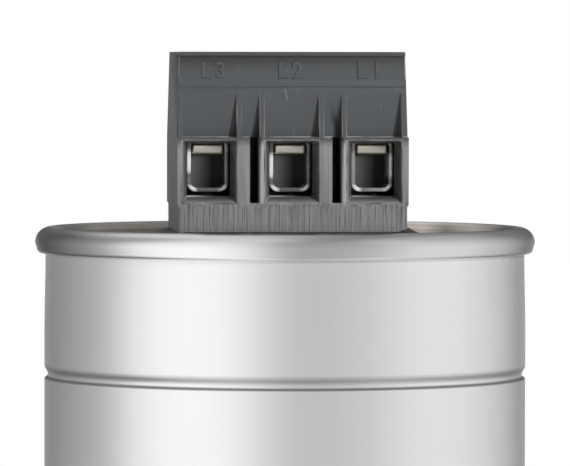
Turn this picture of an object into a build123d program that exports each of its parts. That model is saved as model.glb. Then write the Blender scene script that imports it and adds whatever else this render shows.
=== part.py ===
from build123d import *
import os

os.makedirs("parts", exist_ok=True)

# Power factor correction capacitor, in millimetres, +Z up
# The origin is the centre of the can's base, and the wire entries face -Y

# Can and fixing stud
can_radius = 42.6
can_height = 200.0
base_corner = 3.0
stud_radius = 6.0
stud_length = 16.0
stud_chamfer = 1.0
neck_inset = 0.2
neck_length = 14.0
groove_gap = 4.93
groove_depth = 0.6
groove_height = 3.2
groove_lip_height = 0.7

# Lid and the seam that folds its edge over the can's flange
lid_gauge = 0.8
lid_recess = 4.0
lid_corner = 1.2
seam_overhang = 1.65
seam_width = 4.0
seam_height = 4.6
seam_inner_arch = 1.3
seam_foot_inset = 0.3
seam_foot_round = 0.7
seam_clearance = 0.05

# Current bars
bar_width = 5.4
bar_thickness = 1.8
bar_side_gap = 0.25
bar_roof_gap = 0.15
bar_tip_gap = 0.3
bar_bend = 0.8
bar_slot_gap = 0.1
leg_back = 3.2

# Clamp cages, drawn at the bottom of their travel
cage_gauge = 0.7
cage_top_thickness = 2.2
cage_corner = 1.7
cage_side_gap = 0.2
cage_end_gap = 0.3
cage_floor_gap = 0.7
cage_bar_gap = 0.5
cage_travel = 5.0
cage_top_gap = 0.3

# Clamp screws
screw_radius = 2.5
screw_running_gap = 0.05
screw_end_gap = 0.05
screw_tip_chamfer = 0.5
head_radius = 3.5
head_height = 2.8
head_round = 0.6
head_sink = 3.65
drive_length = 4.8
drive_width = 1.0
drive_depth = 1.5

# Wire entries in a row of three, with heights named rise measured up from the top of the seam
entry_rise = 10.4
throat_height = 9.2
funnel_lift = 0.45
funnel_drop = 1.2
funnel_spread = 0.9
funnel_depth = 2.5
left_post = 1.05
right_post = 2.35
side_wall = 1.05
row_shift = -0.25
slot_width = 1.5
slot_depth = 10.0
slot_round = 0.5

# Clamp chambers, and the screw wells above their collars
chamber_inset = 4.0
chamber_depth = 8.6
collar_height = 1.6
collar_gap = 0.25
well_gap = 0.4
well_chamfer = 0.5

# Outside of the terminal housing
box_front = 17.5
block_back = 12.5
box_sill = 0.3
box_roof = 0.6
foot_inset = 0.15
foot_side_inset = 0.25
foot_flare = 0.5
side_draft = 0.4
back_draft = 0.4
wall_low_inset = 2.2
wall_top_inset = 2.6
corner_round = 0.25
top_round = 0.15
lip_height = 0.75
field_height = 5.3
field_depth = 0.45
field_ramp = 1.4
panel_depth = 0.2
rib_width = 0.9
end_rib_width = 0.4
rib_drop = 1.1

# Hollow rear of the housing, open at its foot
pocket_side_gap = 2.3
pocket_top_rise = 18.0
bar_wall = 2.0
back_wall = 2.2

# Feedthrough bushes and the gasket they sit in
gasket_thickness = 1.2
gasket_inset = 0.5
bush_radius = 3.6
bush_flange = 0.6
bush_gap = 0.05

# Every cut runs this far past the face that it opens
overrun = 1.0

# Places that the can, the lid and the seam share
seam_top = can_height
seam_radius = can_radius + seam_overhang
panel_z = seam_top - lid_recess
lid_under_z = panel_z - lid_gauge
chuck_radius = seam_radius - seam_width
crown_radius = chuck_radius + seam_inner_arch
seam_outer_arch = seam_width - seam_inner_arch
seam_foot_z = seam_top - seam_height
neck_radius = can_radius - neck_inset

# Widths from the bars outwards: cage, throat, mouth, pitch of the bays, housing
cage_width = bar_width + 2 * (bar_side_gap + cage_gauge)
throat_width = cage_width + 2 * cage_side_gap
mouth_width = throat_width + 2 * funnel_spread
bay_pitch = mouth_width + left_post + slot_width + right_post
box_width = 2 * bay_pitch + mouth_width + 2 * side_wall
bays = {"l3": row_shift - bay_pitch, "l2": row_shift, "l1": row_shift + bay_pitch}

# Heights from the entries upwards: bar, cage, chamber, collar, screw head, top
entry_z = seam_top + entry_rise
throat_floor_z = entry_z - throat_height / 2
throat_top_z = entry_z + throat_height / 2
mouth_floor_z = throat_floor_z - funnel_drop
mouth_top_z = throat_top_z + funnel_lift
bar_top_z = throat_top_z - bar_roof_gap
bar_z = bar_top_z - bar_thickness
cage_floor_z = throat_floor_z + cage_floor_gap
window_floor_z = cage_floor_z + cage_gauge
window_top_z = bar_top_z + cage_bar_gap
cage_top_z = window_top_z + cage_top_thickness
chamber_top_z = cage_top_z + cage_travel + cage_top_gap
collar_top_z = chamber_top_z + collar_height
head_z = collar_top_z + screw_end_gap
block_top_z = head_z + head_height + head_sink
foot_z = panel_z + gasket_thickness

# Depths of the clamp chambers and their screws
chamber_front = box_front - chamber_inset
chamber_back = chamber_front - chamber_depth
screw_y = -(chamber_front + chamber_back) / 2


# Can, sealed with all that it holds: one revolved solid with the stud at its base
with BuildPart() as can:
    flange_gap = lid_gauge + seam_clearance
    flange_under_z = seam_foot_z + flange_gap
    neck_z = seam_foot_z - neck_length
    groove_top_z = neck_z - groove_gap
    groove_z = groove_top_z - groove_height
    groove_floor_z = groove_z + groove_lip_height
    with BuildSketch(Plane.XZ):
        with BuildLine():
            Line((0, 0), (can_radius - base_corner, 0))
            CenterArc((can_radius - base_corner, base_corner), base_corner, -90, 90)
            Line((can_radius, base_corner), (can_radius, groove_z))
            Line((can_radius, groove_z), (can_radius - groove_depth, groove_floor_z))
            Spline(
                (can_radius - groove_depth, groove_floor_z),
                (can_radius, groove_top_z),
                tangents=((0, 1), (0, 1)),
            )
            Line((can_radius, groove_top_z), (can_radius, neck_z))
            Spline((can_radius, neck_z), (neck_radius, seam_foot_z), tangents=((0, 1), (0, 1)))
            Polyline(
                (neck_radius, seam_foot_z),
                (neck_radius, flange_under_z),
                (seam_radius - seam_foot_inset - flange_gap, flange_under_z),
                (seam_radius - flange_gap, seam_top - seam_outer_arch),
            )
            CenterArc((crown_radius, seam_top - seam_outer_arch), seam_outer_arch - flange_gap, 0, 90)
            CenterArc((crown_radius, seam_top - seam_inner_arch), seam_inner_arch - flange_gap, 90, 90)
            Line(
                (chuck_radius + flange_gap, seam_top - seam_inner_arch),
                (chuck_radius + flange_gap, panel_z + lid_corner),
            )
            CenterArc((chuck_radius - lid_corner, panel_z + lid_corner), lid_corner + flange_gap, 0, -90)
            Polyline((chuck_radius - lid_corner, panel_z - flange_gap), (0, panel_z - flange_gap), (0, 0))
        make_face()
    revolve(axis=Axis.Z)
    with BuildSketch(Plane.XY):
        Circle(stud_radius)
    extrude(amount=-stud_length)
    chamfer(can.edges().sort_by(Axis.Z)[0], length=stud_chamfer)


# Lid, one sheet: sunk panel, upright wall, and the edge folded over and under the can's flange
with BuildPart() as lid:
    hook_radius = neck_radius + seam_clearance
    with BuildSketch(Plane.XZ):
        with BuildLine():
            Line((0, panel_z), (chuck_radius - lid_corner, panel_z))
            CenterArc((chuck_radius - lid_corner, panel_z + lid_corner), lid_corner, -90, 90)
            Line((chuck_radius, panel_z + lid_corner), (chuck_radius, seam_top - seam_inner_arch))
            CenterArc((crown_radius, seam_top - seam_inner_arch), seam_inner_arch, 180, -90)
            CenterArc((crown_radius, seam_top - seam_outer_arch), seam_outer_arch, 90, -90)
            Line(
                (seam_radius, seam_top - seam_outer_arch),
                (seam_radius - seam_foot_inset, seam_foot_z + seam_foot_round),
            )
            CenterArc(
                (seam_radius - seam_foot_inset - seam_foot_round, seam_foot_z + seam_foot_round),
                seam_foot_round,
                0,
                -90,
            )
            Polyline(
                (seam_radius - seam_foot_inset - seam_foot_round, seam_foot_z),
                (hook_radius, seam_foot_z),
                (hook_radius, seam_foot_z + lid_gauge),
                (seam_radius - seam_foot_inset - lid_gauge, seam_foot_z + lid_gauge),
                (seam_radius - lid_gauge, seam_top - seam_outer_arch),
            )
            CenterArc((crown_radius, seam_top - seam_outer_arch), seam_outer_arch - lid_gauge, 0, 90)
            CenterArc((crown_radius, seam_top - seam_inner_arch), seam_inner_arch - lid_gauge, 90, 90)
            Line(
                (chuck_radius + lid_gauge, seam_top - seam_inner_arch),
                (chuck_radius + lid_gauge, panel_z + lid_corner),
            )
            CenterArc((chuck_radius - lid_corner, panel_z + lid_corner), lid_corner + lid_gauge, 0, -90)
            Polyline((chuck_radius - lid_corner, lid_under_z), (0, lid_under_z), (0, panel_z))
        make_face()
    revolve(axis=Axis.Z)
    with BuildSketch(Plane.XY.offset(panel_z)):
        with Locations(*[(x, leg_back) for x in bays.values()]):
            Circle(bush_radius + bush_gap)
    extrude(amount=overrun, both=True, mode=Mode.SUBTRACT)


def housing_plan(width, front, back):
    """Level section of the housing, with its front and back measured from the can's axis."""
    with Locations((0, (back - front) / 2)):
        RectangleRounded(width, front + back, corner_round)


# Terminal housing, one moulding
with BuildPart() as terminal_housing:
    foot_width = box_width - 2 * foot_side_inset
    top_width = box_width - 2 * side_draft
    foot_front = box_front - foot_inset
    box_foot_z = mouth_floor_z - box_sill
    box_top_z = mouth_top_z + box_roof
    flare_z = box_foot_z - foot_flare
    field_high_z = block_top_z - lip_height
    field_low_z = field_high_z - field_height
    rib_z = field_low_z - rib_drop
    wall_y = wall_low_inset - box_front
    wall_lean = (wall_top_inset - wall_low_inset) / (block_top_z - box_top_z)
    rib_y = wall_y + wall_lean * (rib_z - box_top_z) + panel_depth
    ledge_y = wall_y + wall_lean * (field_low_z - box_top_z)
    lip_y = wall_y + wall_lean * (field_high_z - box_top_z)

    # Foot, flaring into the wire-entry boxes
    with BuildSketch(Plane.XY.offset(foot_z)):
        housing_plan(foot_width, foot_front, block_back)
    extrude(amount=flare_z - foot_z)
    with BuildSketch(Plane.XY.offset(flare_z)):
        housing_plan(foot_width, foot_front, block_back)
    with BuildSketch(Plane.XY.offset(box_foot_z)):
        housing_plan(box_width, box_front, block_back)
    loft()

    # Boxes, standing out of the drafted upper wall
    with BuildSketch(Plane.XY.offset(box_foot_z)):
        housing_plan(box_width, box_front, block_back)
    extrude(amount=box_top_z - box_foot_z)
    with BuildSketch(Plane.XY.offset(box_top_z)):
        housing_plan(box_width, box_front - wall_low_inset, block_back)
    with BuildSketch(Plane.XY.offset(block_top_z)):
        housing_plan(top_width, box_front - wall_top_inset, block_back - back_draft)
    loft()
    fillet(terminal_housing.faces().sort_by(Axis.Z)[-1].edges(), radius=top_round)

    # Front of the upper wall: panels over the boxes, then a ledge and a ramp into the field under the lip
    with BuildSketch(Plane.YZ):
        with BuildLine():
            Polyline(
                (wall_y - overrun, box_top_z),
                (wall_y + panel_depth, box_top_z),
                (ledge_y + panel_depth, field_low_z),
                (ledge_y, field_low_z),
                (ledge_y + field_depth, field_low_z + field_ramp),
                (lip_y + field_depth, field_high_z),
                (lip_y - overrun, field_high_z),
                close=True,
            )
        make_face()
    extrude(amount=box_width / 2 + overrun, both=True, mode=Mode.SUBTRACT)

    # Two gusset ribs over each entry, dying out in the upper wall, thinner at the two ends of the row
    for phase, x in bays.items():
        left_rib = end_rib_width if phase == "l3" else rib_width
        right_rib = end_rib_width if phase == "l1" else rib_width
        for rib_x, width in ((x - mouth_width / 2 - left_rib, left_rib), (x + mouth_width / 2, right_rib)):
            with BuildSketch(Plane.YZ.offset(rib_x)):
                with BuildLine():
                    Polyline(
                        (rib_y + overrun, box_top_z),
                        (-box_front, box_top_z),
                        (rib_y, rib_z),
                        (rib_y + overrun, rib_z),
                        close=True,
                    )
                make_face()
            extrude(amount=width)

    for x in bays.values():
        # Funnel mouth
        with BuildSketch(Plane.XZ.offset(box_front)):
            with Locations((x, (mouth_floor_z + mouth_top_z) / 2)):
                Rectangle(mouth_width, mouth_top_z - mouth_floor_z)
        with BuildSketch(Plane.XZ.offset(box_front - funnel_depth)):
            with Locations((x, entry_z)):
                Rectangle(throat_width, throat_height)
        loft(mode=Mode.SUBTRACT)

        # Throat, and the tall chamber in which the cage rides
        with BuildSketch(Plane.XZ.offset(box_front - funnel_depth)):
            with Locations((x, entry_z)):
                Rectangle(throat_width, throat_height)
        extrude(amount=chamber_back - box_front + funnel_depth, mode=Mode.SUBTRACT)
        with BuildSketch(Plane.XZ.offset(chamber_front)):
            with Locations((x, (throat_floor_z + chamber_top_z) / 2)):
                Rectangle(throat_width, chamber_top_z - throat_floor_z)
        extrude(amount=-chamber_depth, mode=Mode.SUBTRACT)

        # Collar that carries the screw's head, and the well above it
        with BuildSketch(Plane.XY.offset(chamber_top_z)):
            with Locations((x, screw_y)):
                Circle(screw_radius + collar_gap)
        extrude(amount=collar_height, mode=Mode.SUBTRACT)
        with BuildSketch(Plane.XY.offset(collar_top_z)):
            with Locations((x, screw_y)):
                Circle(head_radius + well_gap)
        extrude(amount=block_top_z - collar_top_z, mode=Mode.SUBTRACT)

        # Hollow rear, and the slot through which the bar enters the chamber
        with BuildSketch(Plane.XY.offset(foot_z)):
            pocket_front = bar_wall - chamber_back
            pocket_back = block_back - back_wall
            with Locations((x, (pocket_front + pocket_back) / 2)):
                Rectangle(bar_width + 2 * pocket_side_gap, pocket_back - pocket_front)
        extrude(amount=seam_top + pocket_top_rise - foot_z, mode=Mode.SUBTRACT)
        with BuildSketch(Plane.XZ.offset(chamber_back)):
            with Locations((x, bar_z + bar_thickness / 2)):
                Rectangle(bar_width + 2 * bar_slot_gap, bar_thickness + 2 * bar_slot_gap)
        extrude(amount=-bar_wall, mode=Mode.SUBTRACT)
    well_rims = terminal_housing.faces().sort_by(Axis.Z)[-1].edges().filter_by(GeomType.CIRCLE)
    chamfer(well_rims.filter_by(lambda rim: rim.radius > head_radius), length=well_chamfer)

    # Deep slots that part the phases, with rounded edges at their mouths
    slot_foot_z = mouth_floor_z
    slot_reach = mouth_width / 2 + right_post + slot_width / 2
    for x in (bays["l3"] + slot_reach, bays["l2"] + slot_reach):
        with BuildSketch(Plane.XY.offset(slot_foot_z)) as slot_plan:
            with Locations((x, -box_front - overrun / 2)):
                Rectangle(slot_width + 4 * slot_round, overrun)
            with Locations((x, slot_depth / 2 - box_front)):
                Rectangle(slot_width, slot_depth)
            fillet(slot_plan.vertices().sort_by_distance((x, -box_front))[:2], radius=slot_round)
        extrude(amount=box_top_z - slot_foot_z, mode=Mode.SUBTRACT)


# Gasket between the housing's foot and the lid
with BuildPart() as base_gasket:
    gasket_front = foot_front - gasket_inset
    gasket_back = block_back - gasket_inset
    with BuildSketch(Plane.XY.offset(panel_z)):
        with Locations((0, (gasket_back - gasket_front) / 2)):
            RectangleRounded(foot_width - 2 * gasket_inset, gasket_front + gasket_back, corner_round)
        with Locations(*[(x, leg_back) for x in bays.values()]):
            Circle(bush_radius + bush_flange + bush_gap, mode=Mode.SUBTRACT)
    extrude(amount=gasket_thickness)


for phase, x in bays.items():
    # Feedthrough bush: flange in the gasket, barrel in the lid, and a slot for the bar's leg
    with BuildPart() as feedthrough_bush:
        with BuildSketch(Plane.XY.offset(lid_under_z)):
            with Locations((x, leg_back)):
                Circle(bush_radius)
        extrude(amount=lid_gauge)
        with BuildSketch(Plane.XY.offset(panel_z)):
            with Locations((x, leg_back)):
                Circle(bush_radius + bush_flange)
        extrude(amount=gasket_thickness)
        with BuildSketch(Plane.XY.offset(lid_under_z)):
            with Locations((x, leg_back)):
                Rectangle(bar_width + 2 * bush_gap, bar_thickness + 2 * bush_gap)
        extrude(amount=lid_gauge + gasket_thickness, mode=Mode.SUBTRACT)
    feedthrough_bush.part.label = f"feedthrough_bush_{phase}"
    export_step(feedthrough_bush.part, f"parts/feedthrough_bush_{phase}.step")

    # Current bar: tongue across the clamp chamber, bent down at the rear to pass through the lid
    with BuildPart() as current_bar:
        tongue_front = cage_end_gap + bar_tip_gap - chamber_front
        leg_front_y = leg_back - bar_thickness / 2
        leg_back_y = leg_back + bar_thickness / 2
        bend_centre = (leg_front_y - bar_bend, bar_z - bar_bend)
        with BuildSketch(Plane.YZ.offset(x)):
            with BuildLine():
                Line((tongue_front, bar_z), (leg_front_y - bar_bend, bar_z))
                CenterArc(bend_centre, bar_bend, 90, -90)
                Polyline(
                    (leg_front_y, bar_z - bar_bend),
                    (leg_front_y, lid_under_z),
                    (leg_back_y, lid_under_z),
                    (leg_back_y, bar_z - bar_bend),
                )
                CenterArc(bend_centre, bar_bend + bar_thickness, 0, 90)
                Polyline(
                    (leg_front_y - bar_bend, bar_top_z),
                    (tongue_front, bar_top_z),
                    (tongue_front, bar_z),
                )
            make_face()
        extrude(amount=bar_width / 2, both=True)
    current_bar.part.label = f"current_bar_{phase}"
    export_step(current_bar.part, f"parts/current_bar_{phase}.step")

    # Clamp cage: a folded steel strip round the bar, with a thick top that the screw is threaded through
    with BuildPart() as clamp_cage:
        with BuildSketch(Plane.XZ.offset(chamber_front - cage_end_gap)):
            with Locations((x, (cage_floor_z + cage_top_z) / 2)):
                RectangleRounded(cage_width, cage_top_z - cage_floor_z, cage_corner)
            with Locations((x, (window_floor_z + window_top_z) / 2)):
                RectangleRounded(
                    cage_width - 2 * cage_gauge,
                    window_top_z - window_floor_z,
                    cage_corner - cage_gauge,
                    mode=Mode.SUBTRACT,
                )
        extrude(amount=2 * cage_end_gap - chamber_depth)
        window_corner = cage_corner - cage_gauge
        with BuildSketch(Plane.XY.offset(window_top_z - window_corner)):
            with Locations((x, screw_y)):
                Circle(screw_radius + screw_running_gap)
        extrude(amount=cage_top_thickness + window_corner, mode=Mode.SUBTRACT)
    clamp_cage.part.label = f"clamp_cage_{phase}"
    export_step(clamp_cage.part, f"parts/clamp_cage_{phase}.step")

    # Clamp screw: plain shank from the bar's top to the head, which turns on the collar
    with BuildPart() as clamp_screw:
        screw_tip_z = bar_top_z + screw_end_gap
        with BuildSketch(Plane.XY.offset(screw_tip_z)):
            with Locations((x, screw_y)):
                Circle(screw_radius)
        extrude(amount=head_z - screw_tip_z)
        chamfer(clamp_screw.edges().sort_by(Axis.Z)[0], length=screw_tip_chamfer)
        with BuildSketch(Plane.XY.offset(head_z)):
            with Locations((x, screw_y)):
                Circle(head_radius)
        extrude(amount=head_height)
        fillet(clamp_screw.edges().sort_by(Axis.Z)[-1], radius=head_round)
        with BuildSketch(Plane.XY.offset(head_z + head_height)):
            with Locations((x, screw_y)):
                Rectangle(drive_length, drive_width)
                Rectangle(drive_width, drive_length)
        extrude(amount=-drive_depth, mode=Mode.SUBTRACT)
    clamp_screw.part.label = f"clamp_screw_{phase}"
    export_step(clamp_screw.part, f"parts/clamp_screw_{phase}.step")


can.part.label = "can"
export_step(can.part, "parts/can.step")
lid.part.label = "lid"
export_step(lid.part, "parts/lid.step")
terminal_housing.part.label = "terminal_housing"
export_step(terminal_housing.part, "parts/terminal_housing.step")
base_gasket.part.label = "base_gasket"
export_step(base_gasket.part, "parts/base_gasket.step")
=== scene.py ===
import math

import bmesh
import bpy
import numpy as np
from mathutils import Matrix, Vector


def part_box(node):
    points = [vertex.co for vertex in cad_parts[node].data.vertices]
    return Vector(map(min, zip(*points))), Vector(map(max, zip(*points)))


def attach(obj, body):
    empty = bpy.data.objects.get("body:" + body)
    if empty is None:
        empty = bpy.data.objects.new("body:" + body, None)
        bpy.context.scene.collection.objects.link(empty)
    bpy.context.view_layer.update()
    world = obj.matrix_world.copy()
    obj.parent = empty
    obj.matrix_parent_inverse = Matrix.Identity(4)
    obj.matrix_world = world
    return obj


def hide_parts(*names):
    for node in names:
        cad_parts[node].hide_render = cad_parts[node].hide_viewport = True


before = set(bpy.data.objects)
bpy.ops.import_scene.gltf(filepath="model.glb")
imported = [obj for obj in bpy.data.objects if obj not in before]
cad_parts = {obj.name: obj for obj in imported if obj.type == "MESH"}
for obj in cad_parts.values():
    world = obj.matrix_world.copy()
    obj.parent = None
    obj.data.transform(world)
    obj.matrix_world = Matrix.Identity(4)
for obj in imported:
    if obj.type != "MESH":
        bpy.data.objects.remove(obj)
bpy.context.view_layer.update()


# Can: aluminium, impact-extruded from a slug in one blow, then necked in under the seam and rolled with one bead.
# The threaded fixing stud at the middle of its base is part of the same extrusion.
# The wall is bright and satin, with faint lines along it from the die, and painted shade darkens the bead's crease and
# its upper slope.
lid_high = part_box("lid")[1]
can_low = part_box("can")[0]
seam_top = lid_high.z
seam_radius = lid_high.x
seam_height = 0.0046
seam_width = 0.004
seam_foot = seam_top - seam_height
seam_foot_inset = 0.0003
seam_overhang = 0.00165
inner_arch = 0.0013
outer_arch = seam_width - inner_arch
chuck_radius = seam_radius - seam_width
crown_radius = chuck_radius + inner_arch
lid_recess = 0.004
lid_corner = 0.0012
panel_z = seam_top - lid_recess
flange_gap = 0.00085
can_radius = seam_radius - seam_overhang
base_corner = 0.003
neck_step = 0.0002
neck_height = 0.014
neck_rows = 12
neck_radius = can_radius - neck_step
neck_z = seam_foot - neck_height
groove_drop = 0.00493
groove_height = 0.0032
groove_top = neck_z - groove_drop
groove_foot = groove_top - groove_height
groove_lip = 0.00045
groove_flat = 0.00035
groove_slope = 0.0015
groove_depth = 0.0006
groove_margin = 0.0012
groove_step = 0.00006
groove_soften = 5
stud_radius = 0.006
stud_chamfer = 0.001
stud_root = 0.0006
thread_pitch = 0.00175
thread_depth = 0.00095
thread_flank = 1.35
thread_crest = 0.2
thread_rows = 130
thread_sides = 96
weld_distance = 1e-7
crease_angle = math.radians(40)
smear_span = (0.3, 0.7)
scuff_fineness = 9.0
scuff_crest = (0.58, 0.72)
can_bright = (0.77, 0.77, 0.772, 1.0)
can_dull = (0.74, 0.74, 0.743, 1.0)
can_sheen = 0.8
can_gloss = (0.27, 0.33)
can_relief = 0.02
can_line_depth = 0.0002
# Shares of the wall's colour up the bead from its foot: painted shade in the crease and on the upper slope.
bead_shade = {
    -0.0001: 1.0, 0.00016: 0.38, 0.0003: 0.38, 0.00055: 1.0,
    0.00085: 1.0, 0.0015: 0.55, 0.0018: 0.55, 0.0026: 1.0,
}


def arc_points(centre, radius, start, sweep, count=11):
    """Points on an arc: the centre plus the radius times the cosine and sine of even angles, in degrees."""
    angle = np.radians(start + sweep * np.linspace(0, 1, count))
    return np.column_stack([centre[0] + radius * np.cos(angle), centre[1] + radius * np.sin(angle)])


def ease(share):
    """Smooth step from 0 to 1: three times the square less twice the cube of the share, held at both ends."""
    share = np.clip(share, 0, 1)
    return 3 * share ** 2 - 2 * share ** 3


def turned_mesh(name, radius, height, sides=360):
    """Surface of revolution: corner j of ring i is radius[i, j] out at the angle 2 pi j / sides, height[i] up.

    The radius may be one column for a plain turned shape, and a ring of radius 0 closes to one pole.
    """
    turn = 2 * np.pi * np.arange(sides) / sides
    radius = np.broadcast_to(radius, (len(height), sides))
    level = np.broadcast_to(height[:, None], radius.shape)
    points = np.stack([radius * np.cos(turn), radius * np.sin(turn), level], axis=-1).reshape(-1, 3)
    corner = np.arange(radius.size).reshape(radius.shape)
    ahead = np.roll(corner, -1, axis=1)
    faces = np.stack([corner[:-1], ahead[:-1], ahead[1:], corner[1:]], axis=-1).reshape(-1, 4)
    mesh = bpy.data.meshes.new(name)
    mesh.from_pydata(points.tolist(), [], faces.tolist())
    shape = bmesh.new()
    shape.from_mesh(mesh)
    bmesh.ops.remove_doubles(shape, verts=shape.verts, dist=weld_distance)
    shape.to_mesh(mesh)
    shape.free()
    mesh.shade_smooth()
    mesh.set_sharp_from_angle(angle=crease_angle)
    return mesh


def can_outline():
    """Half section of the can from the middle of its base round to the middle of its top, under the lid.

    Up the bead the radius steps in by a straight lip, stays in over a flat and eases out,
    and a moving average rounds it.
    """
    height = np.arange(groove_foot - groove_margin, groove_top + groove_margin, groove_step)
    step_in = np.clip((height - groove_foot) / groove_lip, 0, 1)
    ease_out = ease((height - groove_foot - groove_lip - groove_flat) / groove_slope)
    bead = can_radius - groove_depth * (step_in - ease_out)
    rounding = np.ones(groove_soften) / groove_soften
    bead = np.convolve(np.pad(bead, groove_soften // 2, mode="edge"), rounding, mode="valid")
    rise = np.linspace(0, 1, neck_rows)
    neck = np.column_stack([
        can_radius + (neck_radius - can_radius) * ease(rise),
        neck_z + (seam_foot - neck_z) * rise,
    ])
    flange_z = seam_foot + flange_gap
    return np.concatenate([
        [(0, 0)],
        arc_points((can_radius - base_corner, base_corner), base_corner, -90, 90),
        np.column_stack([bead, height]),
        neck,
        [(neck_radius, flange_z), (seam_radius - seam_foot_inset - flange_gap, flange_z)],
        arc_points((crown_radius, seam_top - outer_arch), outer_arch - flange_gap, 0, 90),
        arc_points((crown_radius, seam_top - inner_arch), inner_arch - flange_gap, 90, 90),
        arc_points((chuck_radius - lid_corner, panel_z + lid_corner), lid_corner + flange_gap, 0, -90),
        [(0, panel_z - flange_gap)],
    ])


def stud_mesh(name):
    """Thread round the stud: the radius drops by a clipped triangle wave of height / pitch less turn / 2 pi.

    At the tip the radius is held to a cone, which is the chamfer, and both ends close to poles.
    """
    height = np.linspace(can_low.z, stud_root, thread_rows)
    turn = np.arange(thread_sides) / thread_sides
    wave = np.abs((height[:, None] / thread_pitch - turn) % 1 * 2 - 1)
    flank = np.clip(wave * thread_flank - thread_crest, 0, 1)
    chamfer = stud_radius - stud_chamfer + (height[:, None] - can_low.z)
    radius = np.minimum(stud_radius - thread_depth * flank, chamfer)
    pole = np.zeros((1, thread_sides))
    radius = np.concatenate([pole, radius, pole])
    height = np.concatenate([height[:1], height, height[-1:]])
    return turned_mesh(name, radius, height, thread_sides)


def set_sockets(tree, node, inputs):
    """Gives each named or numbered socket of a node its value, or a link where the value is another socket."""
    for socket, value in inputs.items():
        if isinstance(value, bpy.types.NodeSocket):
            tree.links.new(value, node.inputs[socket])
        else:
            node.inputs[socket].default_value = value


def add_node(tree, kind, inputs=None, **settings):
    """One shader node: settings are its own properties, and inputs gives its sockets values or links."""
    node = tree.nodes.new(kind)
    for key, value in settings.items():
        setattr(node, key, value)
    set_sockets(tree, node, inputs or {})
    return node


def maths(tree, operation, *values, **settings):
    """Result of one sum on values or sockets."""
    return add_node(tree, "ShaderNodeMath", dict(enumerate(values)), operation=operation, **settings).outputs[0]


def product(tree, first, *others):
    """Masks multiplied together, one after another."""
    for other in others:
        first = maths(tree, "MULTIPLY", first, other)
    return first


def spread(tree, value, low=0.0, high=1.0, least=0.0, most=1.0, **settings):
    """Value carried in proportion from the span low to high onto the span least to most, held at both ends."""
    return add_node(tree, "ShaderNodeMapRange", {
        "Value": value, "From Min": low, "From Max": high, "To Min": least, "To Max": most},
        **settings).outputs["Result"]


def mixed(tree, share, first, second):
    """Colour that goes from the first tone to the second as the share goes from 0 to 1."""
    return add_node(tree, "ShaderNodeMix", {"Factor": share, 6: first, 7: second}, data_type="RGBA").outputs[2]


def level_ramp(tree, place, levels):
    """Grey ramp over a share from 0 to 1 with one stop for each level."""
    ramp = add_node(tree, "ShaderNodeValToRGB", {"Fac": place})
    stops = ramp.color_ramp.elements
    stops.remove(stops[1])
    (stops[0].position, level), *others = sorted(levels.items())
    stops[0].color = (level, level, level, 1.0)
    for share, level in others:
        stops.new(share).color = (level, level, level, 1.0)
    return ramp.outputs["Color"]


def span_ramp(tree, value, low, high, levels):
    """Grey ramp over a value from low to high, with its stops given in that value's own measure."""
    shares = {(place - low) / (high - low): level for place, level in levels.items()}
    return level_ramp(tree, spread(tree, value, low, high), shares)


def raised_grain(tree, height, strength, depth):
    """Normal bent by a height, for relief too fine for the mesh."""
    return add_node(tree, "ShaderNodeBump", {
        "Height": height, "Strength": strength, "Distance": depth}).outputs["Normal"]


def object_place(tree):
    """Place on the part, in metres from its origin."""
    return add_node(tree, "ShaderNodeTexCoord").outputs["Object"]


def parts_of(tree, vector):
    """X, Y and Z of a vector, as named sockets."""
    return add_node(tree, "ShaderNodeSeparateXYZ", {"Vector": vector}).outputs


def new_group(name, inputs, outputs):
    """Shader node group with float inputs and outputs by name; gives the group and its two end nodes."""
    group = bpy.data.node_groups.new(name, "ShaderNodeTree")
    for label, value in inputs.items():
        group.interface.new_socket(label, in_out="INPUT", socket_type="NodeSocketFloat").default_value = value
    for label in outputs:
        group.interface.new_socket(label, in_out="OUTPUT", socket_type="NodeSocketFloat")
    return group, group.nodes.new("NodeGroupInput"), group.nodes.new("NodeGroupOutput")


def drawn_lines_group():
    """Faint lines along Z: noise squeezed across the surface and drawn out along its height."""
    group, given, result = new_group("drawn_lines", {"Across": 1200.0, "Along": 9.0}, ["Lines"])
    place = object_place(group)
    stretch = add_node(group, "ShaderNodeCombineXYZ", {
        "X": given.outputs["Across"], "Y": given.outputs["Across"], "Z": given.outputs["Along"]})
    squeezed = add_node(group, "ShaderNodeVectorMath", {0: place, 1: stretch.outputs[0]}, operation="MULTIPLY")
    lines = add_node(group, "ShaderNodeTexNoise", {
        "Vector": squeezed.outputs[0], "Scale": 1.0, "Detail": 4.0, "Roughness": 0.6})
    group.links.new(lines.outputs["Fac"], result.inputs["Lines"])
    return group


def handling_marks_group():
    """Soft smears and thin scuffs: slow noise for the smears, and the crests of a warped finer noise for scuffs."""
    group, given, result = new_group("handling_marks", {"Size": 40.0, "Scuffs": 0.5}, ["Smear", "Scuff"])
    place = object_place(group)
    smear = add_node(group, "ShaderNodeTexNoise", {
        "Vector": place, "Scale": given.outputs["Size"], "Detail": 3.0, "Roughness": 0.55})
    ridge = add_node(group, "ShaderNodeTexNoise", {
        "Vector": place, "Scale": maths(group, "MULTIPLY", given.outputs["Size"], scuff_fineness),
        "Detail": 5.0, "Roughness": 0.7, "Distortion": 0.6})
    scuff = product(group, spread(group, ridge.outputs["Fac"], *scuff_crest), given.outputs["Scuffs"])
    group.links.new(smear.outputs["Fac"], result.inputs["Smear"])
    group.links.new(scuff, result.inputs["Scuff"])
    return group


def new_finish(name):
    """Material with its Principled shader; gives the material, its tree and the shader."""
    material = bpy.data.materials.new(name)
    material.use_nodes = True
    return material, material.node_tree, material.node_tree.nodes["Principled BSDF"]


def place_group(tree, group, **values):
    """One use of a node group, with this material's own values at its inputs; gives its outputs."""
    node = tree.nodes.new("ShaderNodeGroup")
    node.node_tree = group
    set_sockets(tree, node, values)
    return node.outputs


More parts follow.
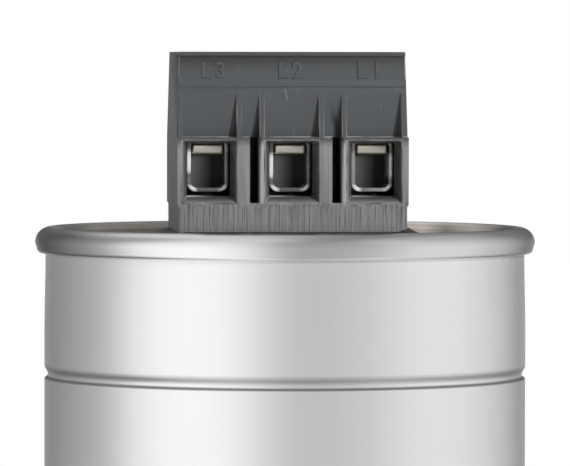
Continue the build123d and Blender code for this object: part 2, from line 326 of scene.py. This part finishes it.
def add_piece(name, mesh, material, body, slot, *nodes):
    """One finished object at the origin that rides on a body and stands for CAD nodes."""
    mesh.materials.append(material)
    piece = bpy.data.objects.new(name, mesh)
    bpy.context.scene.collection.objects.link(piece)
    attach(piece, body)
    if nodes:
        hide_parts(*nodes)
    return piece


drawn_lines = drawn_lines_group()
handling_marks = handling_marks_group()

can_finish, tree, shader = new_finish("satin_drawn_aluminium")
lines = place_group(tree, drawn_lines, Across=1500.0, Along=7.0)
marks = place_group(tree, handling_marks, Size=22.0)
spot = parts_of(tree, object_place(tree))
# Painted shade: the wall's colour is darkened by height in the bead's crease and on its upper slope.
painted_bead_shade = span_ramp(tree, spot["Z"], groove_foot - groove_margin, groove_top + groove_margin, {
    groove_foot + height: share for height, share in bead_shade.items()})
tone = add_node(tree, "ShaderNodeVectorMath", {
    0: mixed(tree, lines["Lines"], can_bright, can_dull), 1: painted_bead_shade}, operation="MULTIPLY")
set_sockets(tree, shader, {
    "Base Color": tone.outputs[0],
    "Roughness": spread(tree, marks["Smear"], *smear_span, *can_gloss),
    "Normal": raised_grain(tree, lines["Lines"], can_relief, can_line_depth),
    "Metallic": can_sheen})

can_section = can_outline()
can_shell = turned_mesh("can_shell", can_section[:, :1], can_section[:, 1])
add_piece("can_shell", can_shell, can_finish, "capacitor", "can_aluminium", "can")
add_piece("fixing_stud", stud_mesh("fixing_stud"), can_finish, "capacitor", "can_aluminium", "can")


# Lid: pressed aluminium sheet, sunk below the rim, its edge folded over the can's flange and rolled tight.
# The outside of the rolled rim is plain metal.
# The inside carries a thin warm lacquer against moisture; soft lighter and darker bands across it are painted
# reflections and shade of the housing on the inner wall.
sheet = 0.0008
foot_round = 0.0009
hook_gap = 0.00005
hook_radius = neck_radius + hook_gap
outer_rows = 24
inner_rows = 16
rim_metal = (0.775, 0.775, 0.78, 1.0)
rim_gloss = 0.22
rim_smeared_gloss = 0.28
lid_lacquer = (0.58, 0.533, 0.466)
# Shares of the lacquer's tone across X: painted reflections and shade of the housing on the lid's inner wall.
lacquer_reflection_bands = {
    -0.036: 0.52, -0.032: 0.78, -0.024: 0.56, 0.024: 0.6,
    0.0278: 0.85, 0.0315: 0.41, 0.036: 1.0, 0.0385: 0.67,
}
lacquer_sheen = 0.45
lacquer_gloss = 0.13
ring_relief = 0.04
ring_depth = 0.0001


def lid_outline():
    """Half section of the lid's sheet, out along its underside, round the hook, and back over the rim."""
    foot_radius = seam_radius - seam_foot_inset
    return np.concatenate([
        [(0, panel_z - sheet)],
        arc_points((chuck_radius - lid_corner, panel_z + lid_corner), lid_corner + sheet, -90, 90),
        arc_points((crown_radius, seam_top - inner_arch), inner_arch - sheet, 180, -90),
        arc_points((crown_radius, seam_top - outer_arch), outer_arch - sheet, 90, -90),
        [(foot_radius - sheet, seam_foot + sheet), (hook_radius, seam_foot + sheet), (hook_radius, seam_foot)],
        arc_points((foot_radius - foot_round, seam_foot + foot_round), foot_round, -90, 90),
        arc_points((crown_radius, seam_top - outer_arch), outer_arch, 0, 90, outer_rows),
        arc_points((crown_radius, seam_top - inner_arch), inner_arch, 90, 90, inner_rows),
        arc_points((chuck_radius - lid_corner, panel_z + lid_corner), lid_corner, 0, -90),
        [(0, panel_z)],
    ])


lid_finish, tree, shader = new_finish("rolled_lid_aluminium")
marks = place_group(tree, handling_marks, Size=30.0)
place = object_place(tree)
flat_place = add_node(tree, "ShaderNodeVectorMath", {0: place, 1: (1.0, 1.0, 0.0)}, operation="MULTIPLY")
reach = add_node(tree, "ShaderNodeVectorMath", {0: flat_place.outputs[0]}, operation="LENGTH").outputs["Value"]
on_rim = spread(tree, reach, chuck_radius, crown_radius)
# Painted reflection and shade: the lacquer's tone is scaled by bands across X.
bands = span_ramp(tree, parts_of(tree, place)["X"], -seam_radius, seam_radius, lacquer_reflection_bands)
lacquer = add_node(tree, "ShaderNodeVectorMath", {0: lid_lacquer, 1: bands}, operation="MULTIPLY")
rings = add_node(tree, "ShaderNodeTexNoise", {"W": reach, "Scale": 2500.0, "Detail": 3.0}, noise_dimensions="1D")
clean_gloss = spread(tree, on_rim, least=lacquer_gloss, most=rim_gloss)
set_sockets(tree, shader, {
    "Base Color": mixed(tree, on_rim, lacquer.outputs[0], rim_metal),
    "Roughness": spread(tree, marks["Smear"], *smear_span, clean_gloss, rim_smeared_gloss),
    "Normal": raised_grain(tree, rings.outputs["Fac"], ring_relief, ring_depth),
    "Metallic": spread(tree, on_rim, least=lacquer_sheen)})

lid_section = lid_outline()
lid_shell = turned_mesh("lid_shell", lid_section[:, :1], lid_section[:, 1])
add_piece("lid_shell", lid_shell, lid_finish, "capacitor", "lid_aluminium", "lid")


# Terminal housing: one moulding of glass-filled dark grey plastic with three wire-entry boxes in a row.
# Ribs brace the boxes against the upper wall, deep slots part the phases, and raised letters mark them.
# The foot and the box fronts are worn paler by rubbing, with upright drag marks, and painted shade darkens the foot
# towards its bottom.
# Inside the wire entries painted light makes the left walls pale and painted shade makes the right walls dark, and two
# posts carry painted highlights.
bay_low, bay_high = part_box("current_bar_l2")
row_middle = (bay_low.x + bay_high.x) / 2
bay_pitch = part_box("current_bar_l1")[0].x - bay_low.x
first_bay_end = row_middle - bay_pitch / 2
last_bay_start = row_middle + bay_pitch / 2
copy_weld = 1e-6
copy_flat = math.radians(0.5)
edge_turn = math.radians(50)
edge_clearance = 2.5
edge_segments = 3
housing_edge = 0.00018
lip_foot = 0.2295
housing_grey = (0.071, 0.075, 0.079, 1.0)
housing_rubbed = (0.24, 0.24, 0.251, 1.0)
housing_worn = (0.26, 0.26, 0.26, 1.0)
housing_specular = 0.2
housing_gloss = (0.42, 0.55)
housing_scuff = 0.25
skin_relief = 0.12
skin_depth = 0.00005
edge_gloss = (0.4, 0.55)
wear_span = (0.35, 0.65)
rub_plane = -0.0173
rub_reach = 0.0014
rub_top = 0.21535
rub_top_rise = 0.0004
rub_top_fade = 0.001
# Painted shade: the paler wear falls to half towards the bottom of the foot, over the fade above this level.
foot_shade_level = 0.1985
foot_shade_fade = 0.003
foot_shade_share = 0.5
band_top = 0.2043
band_fade = 0.0006
drag_least = {"band": 0.15, "posts": 0.6}
drag_most = {"band": 1.4, "posts": 0.9}
throat_side = 0.0038
throat_front = -0.0150
throat_back = -0.0035
throat_foot = 0.2056
throat_top = 0.2152
throat_soft = 0.0006
throat_crisp = 0.0001
# Colours for painted shade deep in the wire entries and painted light on their left walls and on two posts.
throat_shade = (0.026, 0.027, 0.028, 1.0)
painted_light_pale = (0.46, 0.46, 0.46, 1.0)
throat_light_share = {-0.0034: 1.0, -0.0018: 0.75, 0.0: 0.22, 0.0014: 0.0}
# Place and strength of the painted highlight on the left posts of the second and third wire entries.
post_corner_from = -0.0054
post_corner_to = -0.0047
post_soft = 0.0002
post_highlight_share = 0.45
scratch_half = 0.00011
scratch_front = -0.009
scratches = [
    {"foot": (-0.00086, 0.2223), "top": (-0.0013, 0.2247), "depth": 0.75},
    {"foot": (0.00964, 0.2225), "top": (0.00938, 0.2234), "depth": 0.5},
    {"foot": (0.0155, 0.2207), "top": (0.01552, 0.2223), "depth": 0.35},
    {"foot": (0.00028, 0.2165), "top": (0.00026, 0.2174), "depth": 0.5},
]
mark_height = 0.0029
mark_relief = 0.00016
mark_lean = 0.0364
mark_plan_depth = 0.5
mark_chamfer = 0.03
mark_spacing = 1.35
mark_facing = 0.9
mark_pitch = 0.01357
mark_z = 0.22779
mark_y = -0.014558


def merged_copy(node, name):
    """A node's mesh with its loose triangles merged, and flat faces joined again."""
    shape = bmesh.new()
    shape.from_mesh(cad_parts[node].data)
    bmesh.ops.remove_doubles(shape, verts=shape.verts, dist=copy_weld)
    bmesh.ops.dissolve_limit(shape, angle_limit=copy_flat, verts=shape.verts, edges=shape.edges)
    mesh = bpy.data.meshes.new(name)
    shape.to_mesh(mesh)
    shape.free()
    mesh.shade_smooth()
    return mesh


def soften_edges(piece, width, shortest=0.0008, along=None):
    """Small rounds along the long sharp edges that are clear of thin steps; along may pick them by their midpoints."""
    shape = bmesh.new()
    shape.from_mesh(piece.data)
    weight = shape.edges.layers.float.new("bevel_weight_edge")
    for edge in shape.edges:
        length = edge.calc_length()
        if not edge.is_manifold or length < shortest or edge.calc_face_angle() < edge_turn:
            continue
        if along and not along((edge.verts[0].co + edge.verts[1].co) / 2):
            continue
        edge[weight] = float(min(face.calc_area() for face in edge.link_faces) > edge_clearance * width * length)
    shape.to_mesh(piece.data)
    shape.free()
    bevel = piece.modifiers.new("soft_edges", "BEVEL")
    bevel.width = width
    bevel.segments = edge_segments
    bevel.limit_method = "WEIGHT"
    bevel.use_clamp_overlap = False
    bevel.harden_normals = True
    return bevel


def moulded_grain_group():
    """Skin of a moulding: very fine even noise, for bump and for a little unevenness of colour."""
    group, given, result = new_group("moulded_grain", {"Fineness": 5000.0}, ["Grain"])
    place = object_place(group)
    noise = add_node(group, "ShaderNodeTexNoise", {
        "Vector": place, "Scale": given.outputs["Fineness"], "Detail": 2.0, "Roughness": 0.5})
    group.links.new(noise.outputs["Fac"], result.inputs["Grain"])
    return group


def band_mask(tree, value, low, high, soft):
    """Mask that is 1 between two levels and falls to 0 over a soft distance outside them."""
    return product(tree, spread(tree, value, low - soft, low), spread(tree, value, high + soft, high))


def apart_from(tree, value, middle):
    """How far a value lies from a middle, to either side."""
    return maths(tree, "ABSOLUTE", maths(tree, "SUBTRACT", value, middle))


def scratch_mask(tree, spot, foot, top, depth):
    """One straight scratch: full on the line from its foot to its top, gone half its width aside and at both ends."""
    (foot_x, foot_z), (top_x, top_z) = foot, top
    slant = (top_x - foot_x) / (top_z - foot_z)
    length = top_z - foot_z
    line = maths(tree, "MULTIPLY_ADD", spot["Z"], slant, foot_x - slant * foot_z)
    beside = spread(tree, apart_from(tree, spot["X"], line), scratch_half, 0.0, most=depth)
    along = spread(tree, apart_from(tree, spot["Z"], (foot_z + top_z) / 2), length / 2, length / 3)
    return product(tree, beside, along)


moulded_grain = moulded_grain_group()

housing_finish, tree, shader = new_finish("moulded_grey_plastic")
grain = place_group(tree, moulded_grain, Fineness=6000.0)
marks = place_group(tree, handling_marks, Size=160.0, Scuffs=0.6)
lines = place_group(tree, drawn_lines, Across=3400.0, Along=90.0)
spot = parts_of(tree, object_place(tree))
on_front = spread(tree, spot["Y"], rub_plane + rub_reach, rub_plane)
below_top = spread(tree, spot["Z"], rub_top + rub_top_rise, rub_top - rub_top_fade)
# Painted shade towards the bottom of the foot.
clear_of_foot_shade = spread(tree, spot["Z"], foot_shade_level, foot_shade_level + foot_shade_fade, foot_shade_share)
least, most = (
    spread(tree, spot["Z"], band_top, band_top + band_fade, share["band"], share["posts"])
    for share in (drag_least, drag_most))
drag = spread(tree, lines["Lines"], *wear_span, least, most)
wear_and_foot_shade = product(tree, clear_of_foot_shade, drag, on_front, below_top)
wear_and_foot_shade = maths(tree, "MULTIPLY_ADD", marks["Scuff"], housing_scuff, wear_and_foot_shade, use_clamp=True)
on_wall = spread(tree, spot["Y"], scratch_front + scratch_half, scratch_front)
for scratch in scratches:
    wear_and_foot_shade = maths(tree, "MAXIMUM", wear_and_foot_shade, product(tree, scratch_mask(tree, spot, **scratch), on_wall))
tone = mixed(tree, wear_and_foot_shade, housing_grey, housing_rubbed)
across = maths(tree, "WRAP", spot["X"], last_bay_start, first_bay_end)
# Painted highlight: a pale strip down the left post of the second and third wire entries.
post_highlight = product(
    tree, band_mask(tree, across, row_middle + post_corner_from, row_middle + post_corner_to, post_soft),
    spread(tree, spot["X"], first_bay_end, first_bay_end + post_soft, most=post_highlight_share),
    spread(tree, spot["Z"], band_top, band_top + band_fade), on_front, below_top)
tone = mixed(tree, post_highlight, tone, painted_light_pale)
# Painted light and shade inside the wire entries: pale on the left wall, fading to dark on the right.
in_throat = product(
    tree, band_mask(tree, across, row_middle - throat_side, row_middle + throat_side, throat_crisp),
    band_mask(tree, spot["Y"], throat_front, throat_back, throat_soft),
    band_mask(tree, spot["Z"], throat_foot, throat_top, throat_crisp))
throat_light = span_ramp(tree, across, row_middle - throat_side, row_middle + throat_side, {
    row_middle + side: share for side, share in throat_light_share.items()})
tone = mixed(tree, in_throat, tone, mixed(tree, throat_light, throat_shade, painted_light_pale))
set_sockets(tree, shader, {
    "Base Color": tone,
    "Roughness": spread(tree, marks["Smear"], *smear_span, *housing_gloss),
    "Normal": raised_grain(tree, grain["Grain"], skin_relief, skin_depth),
    "Specular IOR Level": housing_specular})

edge_finish, tree, shader = new_finish("worn_plastic_edge")
marks = place_group(tree, handling_marks, Size=220.0, Scuffs=1.0)
set_sockets(tree, shader, {
    "Base Color": mixed(tree, spread(tree, marks["Smear"], *wear_span), housing_grey, housing_worn),
    "Roughness": spread(tree, marks["Scuff"], 0.0, 1.0, *edge_gloss),
    "Specular IOR Level": housing_specular})

housing = add_piece(
    "housing_moulding", merged_copy("terminal_housing", "housing_moulding"), housing_finish,
    "capacitor", "housing_plastic", "terminal_housing")
housing.data.materials.append(edge_finish)
soften_edges(housing, housing_edge, along=lambda point: point.z < lip_foot).material = 1


def mark_mesh(name, words, middle):
    """Raised letters: the letters' plan scaled to the mark's height and stood up against the leaning wall.

    A letter's depth, as a share of the deepest, becomes its height off the wall, and its flanks are worn edges.
    """
    plan = bpy.data.curves.new(name, "FONT")
    plan.body = words
    plan.extrude = mark_plan_depth
    plan.bevel_depth = mark_chamfer
    plan.bevel_resolution = 0
    plan.space_character = mark_spacing
    sample = bpy.data.objects.new(name, plan)
    mesh = bpy.data.meshes.new_from_object(sample)
    bpy.data.objects.remove(sample)
    points = np.empty(len(mesh.vertices) * 3)
    mesh.vertices.foreach_get("co", points)
    across, up, out = points.reshape(-1, 3).T
    scale = mark_height / np.ptp(up)
    across = middle + (across - (across.min() + across.max()) / 2) * scale
    up = mark_z + (up - (up.min() + up.max()) / 2) * scale
    back = mark_y + mark_lean * (up - mark_z) - mark_relief * out / out.max()
    mesh.vertices.foreach_set("co", np.column_stack([across, back, up]).ravel())
    mesh.update()
    mesh.materials.clear()
    facing = np.empty(len(mesh.polygons) * 3)
    mesh.polygons.foreach_get("normal", facing)
    mesh.polygons.foreach_set("material_index", (np.abs(facing[1::3]) < mark_facing).astype(np.int32))
    return mesh


for phase, place_in_row in (("l3", -1), ("l2", 0), ("l1", 1)):
    mark = mark_mesh(f"phase_mark_{phase}", phase.upper(), row_middle + place_in_row * mark_pitch)
    mark = add_piece(f"phase_mark_{phase}", mark, housing_finish, "capacitor", "housing_plastic")
    mark.data.materials.append(edge_finish)


# Base gasket: a sheet of black rubber, punched to the plan of the housing's foot.
# It is squeezed between the foot and the lid when the housing is pressed down.
gasket_black = (0.018, 0.018, 0.019, 1.0)
gasket_bloom = (0.05, 0.05, 0.052, 1.0)
gasket_dullness = 0.75
gasket_relief = 0.2
gasket_grain_depth = 0.0001
gasket_edge = 0.00015

gasket_finish, tree, shader = new_finish("punched_black_rubber")
grain = place_group(tree, moulded_grain, Fineness=2500.0)
marks = place_group(tree, handling_marks, Size=120.0)
set_sockets(tree, shader, {
    "Base Color": mixed(tree, marks["Smear"], gasket_black, gasket_bloom),
    "Normal": raised_grain(tree, grain["Grain"], gasket_relief, gasket_grain_depth),
    "Roughness": gasket_dullness})

gasket = add_piece(
    "gasket_sheet", merged_copy("base_gasket", "gasket_sheet"), gasket_finish,
    "capacitor", "gasket_rubber", "base_gasket")
soften_edges(gasket, gasket_edge)


# Foot band: a band in the dark rubber finish, swept round the housing's foot and down onto the lid, highest at the
# wall.
# It is shade given as a thing: a dark line along the foot and, fuller on the right, a dark patch on the lid beside the
# housing.
bead_low, bead_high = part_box("base_gasket")
bead_section = {-0.0005: 0.1996, 0.0006: 0.1996, 0.0027: 0.19875, 0.0036: 0.1976, 0.0039: 0.1961}
bead_corner = 0.0015
bead_corner_rows = 9
bead_lift = 0.0008
bead_lift_from = 0.2
bead_lift_over = 0.6


def foot_shade_band_mesh(name):
    """Band swept round a rounded rectangle: each row is the foot's plan set out by an offset, at its own height.

    A corner point is the plan's corner centre plus the corner radius and offset times the cosine and sine of
    its angle. The right-hand side is lifted by a smooth step of the angle's cosine, so the bead is fuller there.
    """
    turn = np.radians(np.arange(4)[:, None] * 90 + np.linspace(0, 90, bead_corner_rows)).ravel()
    centre = np.array((bead_low.x + bead_high.x, bead_low.y + bead_high.y)) / 2
    half = np.array((bead_high.x - bead_low.x, bead_high.y - bead_low.y)) / 2 - bead_corner
    corner_x = np.repeat((1, -1, -1, 1), bead_corner_rows) * half[0]
    corner_y = np.repeat((1, 1, -1, -1), bead_corner_rows) * half[1]
    rows = np.array(list(bead_section.items()))
    reach = bead_corner + rows[:, :1]
    across = centre[0] + corner_x + reach * np.cos(turn)
    along = centre[1] + corner_y + reach * np.sin(turn)
    share = (rows[:, 1:] - rows[-1, 1]) / np.ptp(rows[:, 1])
    height = rows[:, 1:] + bead_lift * share * ease((np.cos(turn) - bead_lift_from) / bead_lift_over)
    points = np.stack([across, along, height], axis=-1).reshape(-1, 3)
    point = np.arange(across.size).reshape(across.shape)
    ahead = np.roll(point, -1, axis=1)
    faces = np.stack([point[:-1], point[1:], ahead[1:], ahead[:-1]], axis=-1).reshape(-1, 4)
    base = np.stack([point[-1], point[0], ahead[0], ahead[-1]], axis=-1)
    mesh = bpy.data.meshes.new(name)
    mesh.from_pydata(points.tolist(), [], np.concatenate([faces, base]).tolist())
    mesh.shade_smooth()
    mesh.set_sharp_from_angle(angle=crease_angle)
    return mesh


# The dark band stands for the housing's shade on the lid at its foot.
add_piece("foot_shade_band", foot_shade_band_mesh("foot_shade_band"), gasket_finish, "capacitor", "gasket_rubber")


# Feedthrough bushes: turned from brown pressed phenolic, one for each phase.
# They sit in the lid's holes under the housing and carry the bars through, clear of the metal.
bush_tan = (0.30, 0.17, 0.09, 1.0)
bush_dark = (0.22, 0.12, 0.06, 1.0)
bush_dullness = 0.5
bush_edge = 0.0001

bush_finish, tree, shader = new_finish("pressed_phenolic")
grain = place_group(tree, moulded_grain, Fineness=1800.0)
set_sockets(tree, shader, {
    "Base Color": mixed(tree, grain["Grain"], bush_tan, bush_dark),
    "Roughness": bush_dullness})

for phase in ("l1", "l2", "l3"):
    bush = add_piece(
        f"bush_{phase}", merged_copy(f"feedthrough_bush_{phase}", f"bush_{phase}"), bush_finish,
        "capacitor", "bush_plastic", f"feedthrough_bush_{phase}")
    soften_edges(bush, bush_edge)


# Current bars: tinned copper strip, sheared and bent.
# Each stands in its bush, and its tongue lies across the top of the wire entry, fixed in the housing.
bar_tin = (0.88, 0.84, 0.75, 1.0)
bar_bare = (0.76, 0.70, 0.60, 1.0)
bar_gloss = (0.38, 0.6)
bar_edge = 0.0004

bar_finish, tree, shader = new_finish("tinned_copper_strip")
marks = place_group(tree, handling_marks, Size=300.0, Scuffs=0.8)
set_sockets(tree, shader, {
    "Base Color": mixed(tree, marks["Smear"], bar_tin, bar_bare),
    "Roughness": spread(tree, marks["Scuff"], 0.0, 1.0, *bar_gloss),
    "Metallic": 1.0})

for phase in ("l1", "l2", "l3"):
    bar = add_piece(
        f"bar_{phase}", merged_copy(f"current_bar_{phase}", f"bar_{phase}"), bar_finish,
        "capacitor", "bar_metal", f"current_bar_{phase}")
    soften_edges(bar, bar_edge)


# Clamp cages: zinc-plated steel strip folded round into a box, with a thick threaded top.
# Each hangs on its screw and rises under the bar as the screw turns.
# The plating carries painted highlights on one leg of each cage and at its lower bends, and elsewhere a dark dull tone
# that also stands for the shade inside the entry.
cage_low, cage_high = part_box("clamp_cage_l2")
cage_strip = 0.0007
cage_edge = 0.00015
cage_sheen = 0.4
cage_gloss = (0.14, 0.35)
# Colours for the painted highlight and for the dull plating with its shade.
cage_highlight = (0.92, 0.925, 0.91, 1.0)
cage_shaded_dull = (0.13, 0.135, 0.13, 1.0)
leg_soft = cage_strip / 3
leg_foot = cage_low.z + 4.4 * cage_strip
leg_top = cage_low.z + 8.6 * cage_strip
leg_fade = 1.4 * cage_strip
first_leg_lift = 1.2 * cage_strip
bend_from = row_middle - cage_low.x - 2.8 * cage_strip
bend_to = row_middle - cage_low.x - 1.8 * cage_strip
bend_top = cage_low.z + 2.0 * cage_strip
bend_foot = cage_low.z + 1.2 * cage_strip
highlight_share = 0.85
patch_span = (0.42, 0.64)
patch_share = 0.2

cage_finish, tree, shader = new_finish("zinc_plated_strip")
marks = place_group(tree, handling_marks, Size=260.0, Scuffs=0.7)
spot = parts_of(tree, object_place(tree))
across = maths(tree, "WRAP", spot["X"], last_bay_start, first_bay_end)
# Painted highlights: masks for one upright leg of each cage, the left one except in the last bay, and for its lower
# bends.
left_leg, right_leg = (
    band_mask(tree, across, side - cage_strip, side + cage_strip, leg_soft) for side in (cage_low.x, cage_high.x))
in_last_bay = maths(tree, "GREATER_THAN", spot["X"], last_bay_start)
leg = add_node(tree, "ShaderNodeMix", {"Factor": in_last_bay, "A": left_leg, "B": right_leg}, data_type="FLOAT")
in_first_bay = maths(tree, "LESS_THAN", spot["X"], first_bay_end)
leg_level = maths(tree, "MULTIPLY_ADD", in_first_bay, -first_leg_lift, spot["Z"])
leg = product(tree, leg.outputs[0], band_mask(tree, leg_level, leg_foot, leg_top, leg_fade))
bend = product(
    tree, spread(tree, apart_from(tree, across, row_middle), bend_from, bend_to),
    spread(tree, spot["Z"], bend_top, bend_foot))
patch = spread(tree, marks["Smear"], *patch_span, most=patch_share)
bright = maths(tree, "MULTIPLY_ADD", maths(tree, "MAXIMUM", leg, bend), highlight_share, patch, use_clamp=True)
set_sockets(tree, shader, {
    "Base Color": mixed(tree, bright, cage_shaded_dull, cage_highlight),
    "Roughness": spread(tree, marks["Scuff"], 0.0, 1.0, *cage_gloss),
    "Metallic": cage_sheen})

for phase in ("l1", "l2", "l3"):
    cage = add_piece(
        f"cage_strip_{phase}", merged_copy(f"clamp_cage_{phase}", f"cage_strip_{phase}"), cage_finish,
        f"cage_{phase}", "cage_steel", f"clamp_cage_{phase}")
    soften_edges(cage, cage_edge, 0.0)


# Clamp screws: plated steel, cold-headed with a cross recess and reached from above.
# Each turns on the collar under its screw well and draws its cage up.
screw_plate = (0.66, 0.66, 0.64, 1.0)
screw_worn = (0.45, 0.45, 0.44, 1.0)
screw_gloss = (0.24, 0.4)
screw_edge = 0.00015

screw_finish, tree, shader = new_finish("plated_screw_steel")
marks = place_group(tree, handling_marks, Size=350.0, Scuffs=0.9)
set_sockets(tree, shader, {
    "Base Color": mixed(tree, marks["Scuff"], screw_plate, screw_worn),
    "Roughness": spread(tree, marks["Smear"], *smear_span, *screw_gloss),
    "Metallic": 1.0})

for phase in ("l1", "l2", "l3"):
    screw = add_piece(
        f"screw_{phase}_steel", merged_copy(f"clamp_screw_{phase}", f"screw_{phase}_steel"), screw_finish,
        f"screw_{phase}", "screw_steel", f"clamp_screw_{phase}")
    soften_edges(screw, screw_edge)


# Floor: a plain pale sweep of painted board under the stud's tip.
# It fades to white away from the part, so that it has no edge.
floor_radius = 1.6
floor_sides = 128
floor_fade_from = 0.22
floor_fade_to = 0.75
floor_dullness = 0.9
floor_pale = (0.86, 0.86, 0.86, 1.0)
floor_mottle = (0.83, 0.83, 0.83, 1.0)

floor_mesh = turned_mesh(
    "floor", np.array([[floor_radius], [0.0]]), np.array([can_low.z, can_low.z]), floor_sides)
floor_finish, tree, shader = new_finish("pale_floor")
place = object_place(tree)
mottle = add_node(tree, "ShaderNodeTexNoise", {"Vector": place, "Scale": 6.0, "Detail": 2.0})
set_sockets(tree, shader, {
    "Base Color": mixed(tree, mottle.outputs["Fac"], floor_pale, floor_mottle),
    "Roughness": floor_dullness})
away = add_node(tree, "ShaderNodeVectorMath", {0: place}, operation="LENGTH").outputs["Value"]
fade = spread(tree, away, floor_fade_from, floor_fade_to, interpolation_type="SMOOTHSTEP")
white = add_node(tree, "ShaderNodeEmission", {"Strength": 1.0})
blend = add_node(tree, "ShaderNodeMixShader", {0: fade, 1: shader.outputs[0], 2: white.outputs[0]})
tree.links.new(blend.outputs[0], tree.nodes["Material Output"].inputs["Surface"])
floor_mesh.materials.append(floor_finish)
floor = bpy.data.objects.new("floor", floor_mesh)
bpy.context.scene.collection.objects.link(floor)
floor.visible_glossy = False


# Studio: a pale room that is white behind the part and shades round it, with soft lamps to the right and above.
# The metal sees the room's shading, brightest to the left of the camera, with a second soft side to the right,
# and a ceiling that is paler to the left, over a low dark back wall.
camera_azimuth = -4.8
room_bright = 1.3
room_shade = 0.04
room_by_bearing = {
    -168: 0.30, -158: 0.12, -148: 0.06, -135: 0.09, -115: 0.19, -105: 0.25, -95: 0.32, -85: 0.52, -75: 0.82,
    -65: 0.91, -55: 0.97, -45: 0.99, -35: 0.97, -25: 0.90, -15: 0.74, -5: 0.50, 5: 0.37, 15: 0.36, 35: 0.42,
    45: 0.50, 55: 0.58, 65: 0.68, 95: 0.66, 105: 0.56, 125: 0.41, 135: 0.29, 147: 0.15, 157: 0.20, 168: 0.32,
    180: 0.42,
}
room_by_height = {-1.0: 0.95, -0.5: 1.0, 0.05: 1.0, 0.37: 0.92, 0.7: 0.80, 0.9: 0.72}
room_overhead = {
    -0.8: 0.30, -0.6: 0.38, -0.48: 0.46, -0.4: 0.60, -0.27: 0.62, -0.12: 0.58, 0.03: 0.40, 0.13: 0.24, 0.3: 0.19,
    0.45: 0.36, 0.6: 0.40,
}
room_low_back = (0.08, 0.08, 0.08, 1.0)
low_back_depth = (0.75, 0.95)
low_back_height = (0.01, 0.09)
ceiling_height = (0.7, 1.0)
back_ceiling_depth = (-0.3, 0.0)
back_ceiling_height = (0.5, 0.75)
backdrop_white = (1.0, 1.0, 1.0, 1.0)
lamp_aim = Vector((0.0, 0.0, 0.2))
lamps = {
    "key": {"azimuth": 33.0, "elevation": 22.0, "distance": 1.3, "size": 0.15, "power": 16.5},
    "fill": {"azimuth": 14.0, "elevation": 5.0, "distance": 1.3, "size": 0.1, "power": 2.4},
    "side": {"azimuth": -98.0, "elevation": 12.0, "distance": 1.2, "size": 0.4, "power": 14.0},
    "top": {"azimuth": 0.0, "elevation": 85.0, "distance": 1.3, "size": 0.6, "power": 2.8},
    "back": {"azimuth": 165.0, "elevation": 40.0, "distance": 1.6, "size": 0.9, "power": 14.0},
}

world = bpy.data.worlds.new("pale_room")
bpy.context.scene.world = world
world.use_nodes = True
tree = world.node_tree
tree.nodes.clear()
toward = parts_of(tree, add_node(tree, "ShaderNodeTexCoord").outputs["Generated"])
bearing = maths(tree, "ARCTAN2", toward["X"], maths(tree, "MULTIPLY", toward["Y"], -1.0))
bearing_shares = {((turn + camera_azimuth) / 360 + 0.5) % 1: level for turn, level in room_by_bearing.items()}
walls = add_node(tree, "ShaderNodeVectorMath", {
    0: level_ramp(tree, spread(tree, bearing, -math.pi, math.pi), bearing_shares),
    1: span_ramp(tree, toward["Z"], -1.0, 1.0, room_by_height)}, operation="MULTIPLY")
low_back = product(tree, spread(tree, toward["Y"], *low_back_depth), spread(tree, toward["Z"], *low_back_height))
ceiling = maths(
    tree, "MAXIMUM", spread(tree, toward["Z"], *ceiling_height, interpolation_type="SMOOTHSTEP"),
    product(tree, spread(tree, toward["Y"], *back_ceiling_depth), spread(tree, toward["Z"], *back_ceiling_height)))
room_tone = mixed(
    tree, ceiling, mixed(tree, low_back, walls.outputs[0], room_low_back),
    span_ramp(tree, toward["X"], -1.0, 1.0, room_overhead))
rays = add_node(tree, "ShaderNodeLightPath").outputs
mirrored = maths(tree, "MAXIMUM", rays["Is Glossy Ray"], rays["Is Transmission Ray"])
seen = maths(tree, "MAXIMUM", rays["Is Camera Ray"], mirrored)
lit_room = add_node(tree, "ShaderNodeVectorMath", {0: room_tone, "Scale": room_bright}, operation="SCALE")
backdrop = add_node(tree, "ShaderNodeBackground", {
    "Color": mixed(tree, rays["Is Camera Ray"], lit_room.outputs[0], backdrop_white), "Strength": 1.0})
ambient = add_node(tree, "ShaderNodeBackground", {"Color": room_tone, "Strength": room_shade})
room = add_node(tree, "ShaderNodeMixShader", {0: seen, 1: ambient.outputs[0], 2: backdrop.outputs[0]})
add_node(tree, "ShaderNodeOutputWorld", {"Surface": room.outputs[0]})

for name, lamp in lamps.items():
    light = bpy.data.lights.new(name, "AREA")
    light.shape = "DISK"
    light.size = lamp["size"]
    light.energy = lamp["power"]
    stand = bpy.data.objects.new(name, light)
    bpy.context.scene.collection.objects.link(stand)
    azimuth = math.radians(lamp["azimuth"])
    elevation = math.radians(lamp["elevation"])
    away = Vector((
        math.sin(azimuth) * math.cos(elevation), -math.cos(azimuth) * math.cos(elevation), math.sin(elevation)))
    stand.location = lamp_aim + lamp["distance"] * away
    stand.rotation_euler = away.to_track_quat("Z", "Y").to_euler()
    stand.visible_glossy = False


# Camera: a long lens a metre off, a little to the left of the front and a little above the rim.
# It looks slightly down and shows the terminal housing and the upper part of the can.
camera_distance = 0.99
camera_height = 0.2292
camera_aim = Vector((0.0, 0.0, 0.19888))
camera_roll = 0.1
camera_lens = 353.0
camera_sensor = 36.0
camera_nearest = 0.05

lens = bpy.data.cameras.new("photo_camera")
lens.sensor_width = camera_sensor
lens.lens = camera_lens
lens.clip_start = camera_nearest
camera = bpy.data.objects.new("photo_camera", lens)
bpy.context.scene.collection.objects.link(camera)
azimuth = math.radians(camera_azimuth)
camera.location = (camera_distance * math.sin(azimuth), -camera_distance * math.cos(azimuth), camera_height)
camera.rotation_euler = (camera.location - camera_aim).to_track_quat("Z", "Y").to_euler()
camera.rotation_euler.rotate_axis("Z", math.radians(camera_roll))
bpy.context.scene.camera = camera
bpy.context.scene.view_settings.view_transform = "Standard"
